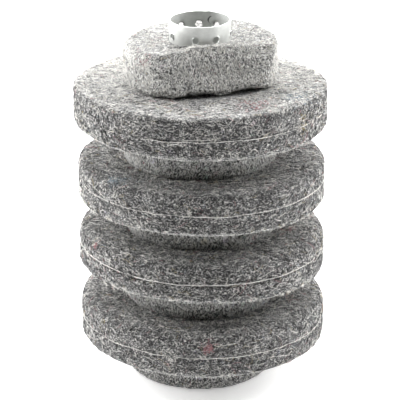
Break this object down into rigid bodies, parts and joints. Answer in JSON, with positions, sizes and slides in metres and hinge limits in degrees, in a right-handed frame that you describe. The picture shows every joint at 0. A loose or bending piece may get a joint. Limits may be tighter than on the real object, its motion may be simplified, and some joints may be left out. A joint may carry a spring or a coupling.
{
  "type": "felt polishing wheel",
  "caption": "Grooved felt polishing wheel: large and small felt discs stacked by turns on a thin, burred, perforated metal sleeve.",
  "frame": {"origin": "centre of the wheel's lower end, where the sleeve's axis meets the underside of the lowest felt disc", "axes": "+Z along the sleeve's axis, towards the end where the sleeve stands out of the felt; +X to the right and +Y to the back as first looked at"},
  "size_m": [0.15, 0.15, 0.22],
  "materials": {
    "felt_large": "mottled grey wool felt, fuzzy",
    "felt_small": "mottled light grey wool felt, fuzzy",
    "scrim": "open woven cloth, frayed edge",
    "sleeve": "plain tinned sheet, satin"
  },
  "bodies": {
    "root": {"core_sleeve": "sleeve", "small_disc_1_lower_ply": "felt_small", "small_disc_1_upper_ply": "felt_small", "large_disc_1_base_scrim": "scrim", "large_disc_1_lower_ply": "felt_large", "large_disc_1_mid_scrim": "scrim", "large_disc_1_upper_ply": "felt_large", "small_disc_2_lower_ply": "felt_small", "small_disc_2_upper_ply": "felt_small", "large_disc_2_base_scrim": "scrim", "large_disc_2_lower_ply": "felt_large", "large_disc_2_mid_scrim": "scrim", "large_disc_2_upper_ply": "felt_large", "small_disc_3_lower_ply": "felt_small", "small_disc_3_upper_ply": "felt_small", "large_disc_3_base_scrim": "scrim", "large_disc_3_lower_ply": "felt_large", "large_disc_3_mid_scrim": "scrim", "large_disc_3_upper_ply": "felt_large", "small_disc_4_lower_ply": "felt_small", "small_disc_4_upper_ply": "felt_small", "large_disc_4_base_scrim": "scrim", "large_disc_4_lower_ply": "felt_large", "large_disc_4_mid_scrim": "scrim", "large_disc_4_upper_ply": "felt_large", "small_disc_5_lower_ply": "felt_small", "small_disc_5_upper_ply": "felt_small"}
  },
  "joints": []
}
